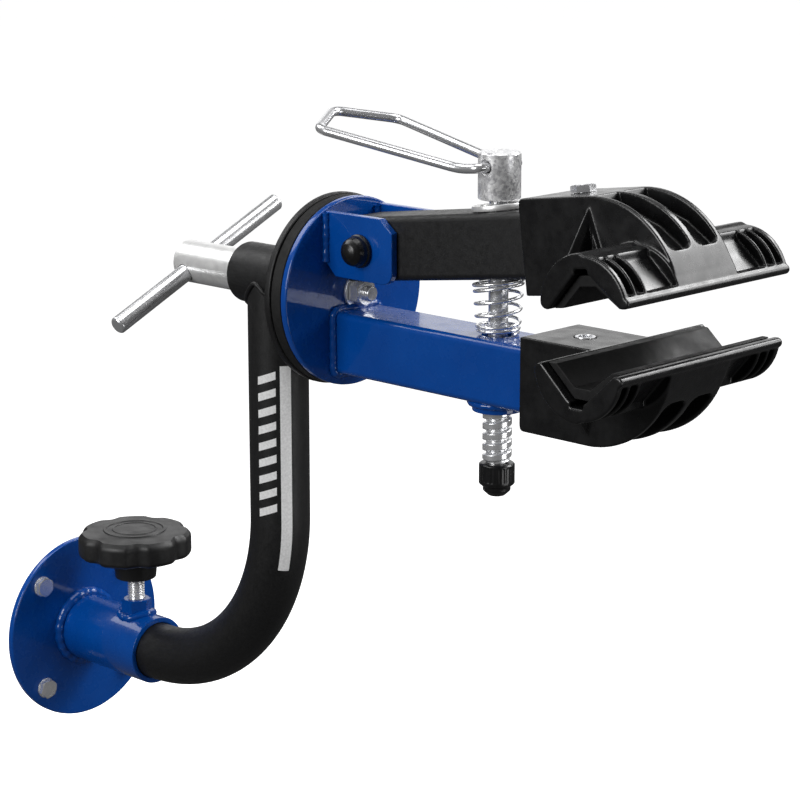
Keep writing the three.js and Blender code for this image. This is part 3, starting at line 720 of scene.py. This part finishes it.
def square_ring(half, corner, steps=6):
    inner = half - corner
    points = []
    for quarter in range(4):
        centre = [(inner, inner), (-inner, inner), (-inner, -inner), (inner, -inner)][quarter]
        start = quarter * math.pi / 2
        points += arc(*centre, corner, start, start + math.pi / 2, steps)
    return points


def square_tube(name, start, end, wall=3.0, corner=4.2, lip=0.5):
    """A rounded square tube along X."""
    outer, small = square_ring(BAR_HALF, corner), square_ring(BAR_HALF - lip, corner - lip)
    inner = square_ring(BAR_HALF - wall, max(1.0, corner - wall))
    rows = [(start, small), (start + lip, outer), (end - lip, outer)]
    rows += [(end, small), (end, inner), (start, inner)]
    verts = [(x, y, z) for x, outline in rows for y, z in outline]
    return raw(name, verts, grid_faces(len(rows), len(outer), True))


lower_low, lower_high = span("lower_arm")
LOWER_Z = middle("lower_arm").z
SPINDLE_X = middle("spindle").x
lower = square_tube("lower_bar", lower_low.x, lower_high.x)
hole = cylinder("hole", radius=10, low=-30, high=30)
hole.data.transform(Matrix.Translation((SPINDLE_X, 0, 0)))
combine(lower, "DIFFERENCE", hole)
piece(lower, BLUE, "head", "lower_arm", place=at(0, 0, LOWER_Z))
run = [(lower_low.x + 1.0, y, z) for y, z in square_ring(BAR_HALF + 0.7, 5, 12)]
WELD_STEP = 1.2
dense = []
for a, b in zip(run, run[1:] + run[:1]):
    pieces = max(1, int((Vector(a) - Vector(b)).length / WELD_STEP))
    dense += [Vector(a).lerp(Vector(b), k / pieces) for k in range(pieces)]
weld = bead("arm_disc_weld", dense, radius=2.6, ripples=26)
piece(weld, BLUE, "head", place=at(0, 0, LOWER_Z))

PIVOT = middle("pivot_sleeve")
ARM_TILT = math.radians(7.7)
UPPER = at(PIVOT.x, 0, PIVOT.z, Matrix.Rotation(-ARM_TILT, 4, "Y"))
UPPER_START, UPPER_END, WASHER_X = -20, 183.5, 96
upper = square_tube("upper_bar", UPPER_START, UPPER_END)
SWAP_Y_Z = Matrix(((1, 0, 0, 0), (0, 0, 1, 0), (0, 1, 0, 0), (0, 0, 0, 1)))
SLOT_HALF = 6.6  # the spindle passes through a slot in the bar's top and another in its underside
for start, end, low_z, high_z in ((84.4, 106.8, 10, 30), (82.4, 99, -30, -10)):
    outline = arc(start + SLOT_HALF, 0, SLOT_HALF, math.pi / 2, 1.5 * math.pi, 12)
    outline += arc(end - SLOT_HALF, 0, SLOT_HALF, -math.pi / 2, math.pi / 2, 12)
    cutter = slab("slot", outline, low_z, high_z)
    cutter.data.transform(SWAP_Y_Z)
    combine(upper, "DIFFERENCE", cutter)
cross = cylinder("cross", radius=8.3, low=-30, high=30)
cross.data.transform(ALONG_Y)
combine(upper, "DIFFERENCE", cross)
piece(upper, POWDER, "upper_arm", "upper_arm", place=UPPER)
ring = washer("hub_washer_ring", outer=17, inner=11.4, low=BAR_HALF + GAP, high=BAR_HALF + 3.9, edge=1.2)
piece(ring, BARREL_ZINC, "upper_arm", "hub_washer", place=UPPER @ Matrix.Translation((WASHER_X, 0, 0)))

# ---- Jaws, drawn with X along the arm from the jaw's rear face and Z towards the other jaw ----

LIP, LIP_R, HALF_LENGTH = 29.2, 4.5, 74.3
BACK_X, BACK_Z, BACK_R = 83.2, 29.6, 31.4  # the wing's round back
NOSE_X, NOSE_Z, NOSE_R = 50.7, 33.5, 61.85  # the block's round nose
BLOCK_Y, BLOCK_Z = 26.35, 28.35  # half the block's width and height
GROOVE_REAR, GROOVE_FRONT, GROOVE_X = 57.4, 108.8, 83.1
FLOOR, HALF_FLOOR, RELIEF = 10.5, 5.5, 7.3
SKIRT = BACK_R - 1.6  # the front half of the wing's back, below the rail
RAIL = 23.4  # underside of the rail along the front lip
BOLT_X, BOLT_HEAD, BOLT_SHANK_R, BOLT_TURN = 27.7, 4.6, 3.9, -0.36
PAD_HALF, PAD_THICKNESS, PAD_RISE = 69, 5, 0.5
VOXEL = 0.62


def groove_edge(lining):
    """The groove's outline from rear to front, moved in by the thickness of a lining."""
    slide = 1.4 * lining
    edge = [(GROOVE_REAR + slide, LIP), (GROOVE_X - HALF_FLOOR, FLOOR + slide)]
    return edge + [(GROOVE_X + HALF_FLOOR, FLOOR + slide), (GROOVE_FRONT - slide, LIP)]


def wing_section():
    lip_z = LIP - LIP_R
    drop = math.asin((BACK_Z - lip_z) / BACK_R)
    reach = BACK_R * math.cos(drop) - LIP_R
    outline = arc(BACK_X - reach, lip_z, LIP_R, math.pi / 2, math.pi, 8)
    outline += arc(BACK_X, BACK_Z, BACK_R, math.pi + drop, 1.5 * math.pi, 36)[1:]
    skirt_end = 2 * math.pi - math.asin((BACK_Z - RAIL) / SKIRT)
    outline += arc(BACK_X, BACK_Z, SKIRT, 1.5 * math.pi + 0.12, skirt_end, 36)
    outline.append((BACK_X + SKIRT - 1, RAIL))
    half_rail = (LIP - RAIL) / 2
    rail_x = BACK_X + BACK_R - 0.1 - half_rail
    outline += arc(rail_x, RAIL + half_rail, half_rail, -math.pi / 2, math.pi / 2, 12)
    return outline + groove_edge(0)[::-1]


def block_section():
    outline = [(0, BLOCK_Z)] + arc(3, 3 - BLOCK_Z, 3, math.pi, 1.5 * math.pi, 6)
    outline += arc(NOSE_X, NOSE_Z, NOSE_R, 1.5 * math.pi, 2 * math.pi - 0.16, 64)
    return outline + groove_edge(0)[::-1] + [(GROOVE_REAR - 3, BLOCK_Z)]


def gusset(side):
    """The hollow tapered web between the block's side and the wing's back."""
    root, tip = side * (BLOCK_Y - 1), side * 66
    verts = [(53, root, -23.5), (50.6, tip, 27), (66, root, 27), (50.6, root, 27), (50.6, root, -22)]
    web = raw("gusset", verts, [(0, 1, 2), (0, 4, 3, 2), (1, 3, 4), (1, 2, 3), (0, 1, 4)])
    hollow = [(28.4, -13), (58, 25), (28.4, 25)]
    verts = [(x, side * y, z) for x in (54.4, 80) for y, z in hollow]
    return combine(web, "DIFFERENCE", raw("hollow", verts, grid_faces(2, 3) + [(0, 1, 2), (3, 4, 5)]))


def nose_pocket(side):
    """A pocket in the nose, with rounded corners at its front end."""
    ahead = NOSE_X + NOSE_R + 8
    outline = [(NOSE_X + 3, -35), (NOSE_X + 6, 8 - BLOCK_Z), (GROOVE_X, -8), (GROOVE_FRONT - 9, 6)]
    outline += [(GROOVE_FRONT + 4, 14), (ahead, 14), (ahead, -35)]
    low, high = sorted((side * 2.5, side * (BLOCK_Y - 4)))
    body = slab("pocket", outline, low, high)
    front, corner = 77.1, 6.5
    corners = [(0, low), (front, low), (front, high), (0, high)]
    stadium = rounded(corners, corner, 8)
    shape = slab("stadium", [(v.x, v.y) for v in stadium], -30, 100)
    # The stadium's X runs along the nose, its Z across the jaw and its Y out of the nose.
    c = math.sqrt(0.5)
    shape.data.transform(Matrix(((c, c, 0, 0), (0, 0, 1, 0), (c, -c, 0, 0), (0, 0, 0, 1))))
    face_outwards(shape.data)
    return combine(body, "INTERSECT", shape)


def block(name, xs, ys, zs):
    outline = [(xs[0], zs[0]), (xs[1], zs[0]), (xs[1], zs[1]), (xs[0], zs[1])]
    return slab(name, outline, *ys)


def moulding(name):
    """The jaw as one moulding, its edges rounded as a mould leaves them."""
    jaw = slab(name, wing_section(), -HALF_LENGTH, HALF_LENGTH)
    combine(jaw, "UNION", slab("block", block_section(), -BLOCK_Y, BLOCK_Y), gusset(-1), gusset(1))
    front, below_rail, behind = BACK_X + BACK_R + 5, RAIL - 0.6, GROOVE_X + HALF_FLOOR + 4
    outline = [(front, below_rail), (GROOVE_FRONT - 1, below_rail), (behind + 1, RELIEF - 1)]
    outline += [(behind, -10), (front, -10)]
    cutters = []
    for outer, inner in ((HALF_LENGTH - 4, 65), (63, 56), (54, BLOCK_Y + 1)):
        for side in (-1, 1):
            cutters.append(slab("pocket", outline, *sorted((side * inner, side * outer))))
    cutters += [nose_pocket(-1), nose_pocket(1)]
    half = BAR_HALF + 0.4
    cutters.append(block("arm_socket", (-1, 50.3), (-half, half), (-half, half)))
    slot = HALF_FLOOR - 1
    cutters.append(block("relief", (GROOVE_X - slot, GROOVE_X + slot), (-80, 80), (RELIEF, 14)))
    hole = cylinder("nut_hole", radius=6.7, low=BAR_HALF, high=40, segments=40)
    hole.data.transform(Matrix.Translation((BOLT_X, 0, 0)))
    cutters.append(hole)
    combine(jaw, "DIFFERENCE", *cutters)
    remesh = jaw.modifiers.new("skin", "REMESH")
    remesh.mode = "VOXEL"
    remesh.voxel_size = VOXEL
    smooth = jaw.modifiers.new("smooth", "SMOOTH")
    smooth.factor = 0.5
    smooth.iterations = 5
    thin = jaw.modifiers.new("thin", "DECIMATE")
    thin.ratio = 0.3
    return applied(jaw)


def pad_section():
    """The lining's outline, its front edge standing a little above the lip."""
    outside, inside = groove_edge(0.5), groove_edge(PAD_THICKNESS)
    front = [(GROOVE_FRONT - 0.4, LIP + 0.2), (GROOVE_FRONT - 1.2, LIP + PAD_RISE)]
    front.append((GROOVE_FRONT - PAD_THICKNESS, LIP + PAD_RISE))
    return outside[:3] + front + inside[2::-1]


UPSIDE_DOWN = Matrix.Rotation(math.pi, 4, "X")
LOWER_JAW = at(span("lower_jaw")[0].x, 0, LOWER_Z)
UPPER_JAW_X = 133.8  # from the pivot, along the upper arm
UPPER_JAW = UPPER @ at(UPPER_JAW_X, 0, 0, UPSIDE_DOWN)
moulded_jaw = moulding("lower_jaw_moulding")
copy = moulded_jaw.copy()
copy.data = moulded_jaw.data.copy()
copy.name = "upper_jaw_moulding"
bpy.context.scene.collection.objects.link(copy)
jaws = {"lower": (moulded_jaw, LOWER_JAW, "head"), "upper": (copy, UPPER_JAW, "upper_arm")}
for side, (jaw, place, body) in jaws.items():
    piece(jaw, NYLON, body, side + "_jaw", place=place, sharp=60)
    pad = slab(side + "_jaw_lining", pad_section(), -PAD_HALF, PAD_HALF)
    piece(pad, RUBBER, body, side + "_jaw_pad", place=place, edge=0.6)
    bolt = hexagon(side + "_jaw_bolt_head", M8_FLATS, 0, BOLT_HEAD, 1.0)
    joined(bolt, cylinder("shank", BOLT_SHANK_R, -2 * BLOCK_Z + 2, 0.2, 24))
    turn = Matrix.Rotation(BOLT_TURN, 4, "Z")
    bolt_place = place @ at(BOLT_X, 0, -BLOCK_Z - GAP, UPSIDE_DOWN) @ turn
    piece(bolt, ZINC, body, side + "_jaw_bolt", place=bolt_place, sharp=20)
    nut = washer(side + "_jaw_ring_nut", outer=6.2, inner=4.3, low=BAR_HALF + GAP, high=BLOCK_Z + 0.5,
                 segments=64)
    piece(nut, ZINC, body, side + "_jaw_nut", place=place @ Matrix.Translation((BOLT_X, 0, 0)))

# ---- Spindle, hub, bail and spring ----

SHAFT = at(SPINDLE_X, 0, 0)
spindle_low, spindle_high = span("spindle")
hub_low, hub_high = span("spindle_hub")
cap_low, cap_high = span("end_cap")
THREAD_TOP, ROD_R = 268, 6
shaft = threaded("spindle_screw", root=6.7, crest=9, pitch=6.6, low=cap_high.z + 0.4, high=THREAD_TOP,
                 flat=0.42, sides=64, steps=16)
profile = [(AXIS_EDGE, spindle_low.z), (ROD_R, spindle_low.z)]
profile += [(ROD_R, spindle_high.z), (AXIS_EDGE, spindle_high.z)]
rod = turned("rod", rounded(profile, 0.4), 48)
piece(joined(shaft, rod), ZINC, "spindle", "spindle", place=SHAFT, sharp=75)

HUB_R = (hub_high.y - hub_low.y) / 2
profile = [(6.3, hub_low.z), (HUB_R - 0.8, hub_low.z), (HUB_R, hub_low.z + 0.8)]
profile += [(HUB_R, hub_high.z - 1.0), (HUB_R - 1.0, hub_high.z), (AXIS_EDGE, hub_high.z)]
hub = turned("hub_barrel", [(AXIS_EDGE, hub_low.z)] + rounded(profile, 0.25, 2), 96)
BAIL_Z = 380.5
profile = [(5.4, -14), (5.0, -13), (3.5, -11.2), (3.5, 11.2), (5.0, 13), (5.4, 14)]
hole = turned("cross_hole", profile, 48)
hole.data.transform(at(0, 0, BAIL_Z, ALONG_Y))
combine(hub, "DIFFERENCE", hole)
piece(hub, SPANGLE, "spindle", "spindle_hub", place=SHAFT, sharp=28)

CAP_R, RIB_COUNT, RIB_DEPTH = 11, 28, 0.2
RIB_LOW, RIB_HIGH, RIB_FADE = 187.5, 197.4, 0.8


def ribs(angle, radius, height):
    """Fine ribs round the cap's widest part."""
    if radius <= CAP_R - 1:
        return radius
    inside = min(1.0, max(0.0, (height - RIB_LOW) / RIB_FADE), max(0.0, (RIB_HIGH - height) / RIB_FADE))
    return radius - RIB_DEPTH * inside * (0.5 + 0.5 * math.cos(RIB_COUNT * angle))


profile = [(AXIS_EDGE, cap_low.z), (5, cap_low.z + 0.8), (8.5, cap_low.z + 4), (8.5, 184), (CAP_R, 186)]
profile += [(CAP_R, z) for z in (RIB_LOW, RIB_LOW + 0.9, RIB_HIGH - 0.9, RIB_HIGH, cap_high.z - 1)]
profile += [(CAP_R - 1, cap_high.z), (AXIS_EDGE, cap_high.z)]
cap = turned("end_cap_ribbed", rounded(profile, 0.6, 3), 224, ribs)
piece(cap, NYLON, "spindle_slide", "end_cap", place=SHAFT)

low, high = span("spindle_nut")
BOSS_R, BOSS_BORE_R = high.y, 9.3
boss = washer("spindle_boss", BOSS_R, BOSS_BORE_R, low.z, high.z, edge=0.9)
piece(boss, BLUE, "head", "spindle_nut", place=SHAFT)
weld = bead("boss_weld", circle(BOSS_R + 0.8, high.z - 1.0, 96), radius=2.2, ripples=18)
piece(weld, BLUE, "head", place=SHAFT)

BAIL_Y, BAIL_WIRE_R, BAIL_BEND = 18.3, 3, 7
BAIL_KNEE, BAIL_TIP = (293, -36, 395.5), (269.5, 0, 402)
near = [(SPINDLE_X, -8, BAIL_Z), (SPINDLE_X, -BAIL_Y, BAIL_Z)]
near += [(SPINDLE_X - 15.4, -BAIL_Y, BAIL_Z - 1.6), BAIL_KNEE]
far = [(x, -y, z) for x, y, z in reversed(near)]
loop = rounded([*near, BAIL_TIP, *far], BAIL_BEND, 10)
piece(sweep("bail_loop", loop, BAIL_WIRE_R, 24), STEEL, "bail", "bail")

# The spring has close turns at its ends and open ones between, and widens upwards.
TURNS, END_TURNS, OPEN_TURNS, CLOSED_PITCH = 6.5, 1.9, 3, 2.5
COIL_R, COIL_SPREAD, WIRE_R, COIL_STEPS = 11.9, 3.5, 1.1, 312
SLOPE = math.tan(ARM_TILT)
bottom = lower_high.z + 1.4
top = PIVOT.z + (SPINDLE_X - PIVOT.x) * SLOPE - BAR_HALF / math.cos(ARM_TILT) - 1.5
close_rise = CLOSED_PITCH / (top - bottom)
open_rise = 1 - (TURNS - OPEN_TURNS) * close_rise
coil = []
for i in range(COIL_STEPS + 1):
    turn = TURNS * i / COIL_STEPS
    angle = 2 * math.pi * turn
    radius = COIL_R + COIL_SPREAD * i / COIL_STEPS
    x = radius * math.cos(angle)
    closed = min(turn, END_TURNS) + max(0.0, turn - END_TURNS - OPEN_TURNS)
    opened = min(1.0, max(0.0, (turn - END_TURNS) / OPEN_TURNS))
    rise = closed * close_rise + opened * open_rise
    coil.append((x, radius * math.sin(angle), bottom + rise * (top + x * SLOPE - bottom)))
spring = piece(sweep("spring_coil", coil, WIRE_R, 12), ZINC, None, "spring", place=SHAFT)
ends = [Vector((SPINDLE_X, 0, z)) * MM for z in (bottom, top - (COIL_R + COIL_SPREAD) * SLOPE)]
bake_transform(spring)

# ---- CAD nodes that keep their shape ----

for node in ("rear_bush", "front_bush"):
    dress(node, POWDER)
for node in ("pivot_sleeve", "pivot_bolt", "pivot_nut"):
    dress(node, ZINC)

# ---- Floor, light and camera ----

FLOOR_Z, REACH = -0.32, 60  # in metres, from here on
floor_mesh = bpy.data.meshes.new("floor")
floor_corners = [(x * REACH, y * REACH, FLOOR_Z) for x, y in ((-1, -1), (1, -1), (1, 1), (-1, 1))]
floor_mesh.from_pydata(floor_corners, [], [(0, 1, 2, 3)])
floor = bpy.data.objects.new("floor", floor_mesh)
bpy.context.scene.collection.objects.link(floor)
ground = Look("floor_white", "", (0.9, 0.9, 0.9), Roughness=0.9,
              Emission_Color=(1, 1, 1, 1), Emission_Strength=0.93)
ground.colours(ground.noise(2, 2), (0.88, 0.88, 0.88), (0.92, 0.92, 0.92))
floor_mesh.materials.append(ground.material)
floor.visible_glossy = False
floor.visible_diffuse = False

# The room is dim for the light it gives and white to look at.
world = bpy.data.worlds.new("studio")
bpy.context.scene.world = world
world.use_nodes = True
tree = world.node_tree
sky = tree.nodes["Background"]
sky.inputs["Color"].default_value = (1, 1, 1, 1)
sky.inputs["Strength"].default_value = 0.08
white = tree.nodes.new("ShaderNodeBackground")
white.inputs["Strength"].default_value = 1.0
white.inputs["Color"].default_value = (1, 1, 1, 1)
rays = tree.nodes.new("ShaderNodeLightPath")
mix = tree.nodes.new("ShaderNodeMixShader")
tree.links.new(rays.outputs["Is Camera Ray"], mix.inputs["Fac"])
tree.links.new(sky.outputs["Background"], mix.inputs[1])
tree.links.new(white.outputs["Background"], mix.inputs[2])
tree.links.new(mix.outputs["Shader"], tree.nodes["World Output"].inputs["Surface"])

TARGET = Vector((0.3, 0, 0.2))


def softbox(name, place, width, height, power):
    light = bpy.data.lights.new(name, "AREA")
    light.shape = "RECTANGLE"
    light.size, light.size_y = width, height
    light.energy = power
    obj = bpy.data.objects.new(name, light)
    bpy.context.scene.collection.objects.link(obj)
    obj.location = place
    obj.visible_camera = False
    obj.rotation_mode = "QUATERNION"
    obj.rotation_quaternion = (TARGET - Vector(place)).to_track_quat("-Z", "Y")


softbox("top", (0.3, 0.0, 1.7), 1.0, 0.8, 9)
softbox("upper_left", (-0.85, -0.32, 1.4), 0.9, 0.9, 9)
softbox("front", (0.1, -1.8, 0.9), 1.0, 1.0, 26)
softbox("right_low", (1.95, 0.3, 0.1), 0.8, 0.8, 8)
softbox("back_right", (1.2, 1.05, 0.87), 0.7, 0.7, 9)
softbox("back_left", (-0.7, 1.12, 0.66), 1.4, 0.9, 4)
softbox("back_top", (0.79, 1.12, 1.33), 0.9, 0.4, 14)

# The camera looks along -back. It stands off from LOOK_AT by these distances along its own axes.
LOOK_AT = Vector((0.170, 0, 0.150))
DISTANCE, ASIDE, ABOVE = 1.66323, 0.11379, 0.04694
back = Vector((0.6750, -0.7007, 0.2309)).normalized()
right = Vector((0, 0, 1)).cross(back).normalized()
up = back.cross(right)
camera_data = bpy.data.cameras.new("camera")
camera_data.lens = 110.0
camera_data.sensor_width = 36
camera_data.clip_start, camera_data.clip_end = 0.05, 50
camera = bpy.data.objects.new("camera", camera_data)
bpy.context.scene.collection.objects.link(camera)
camera.matrix_world = Matrix((right, up, back)).transposed().to_4x4()
camera.location = LOOK_AT + back * DISTANCE + right * ASIDE + up * ABOVE
bpy.context.scene.camera = camera
bpy.context.scene.view_settings.view_transform = "Standard"
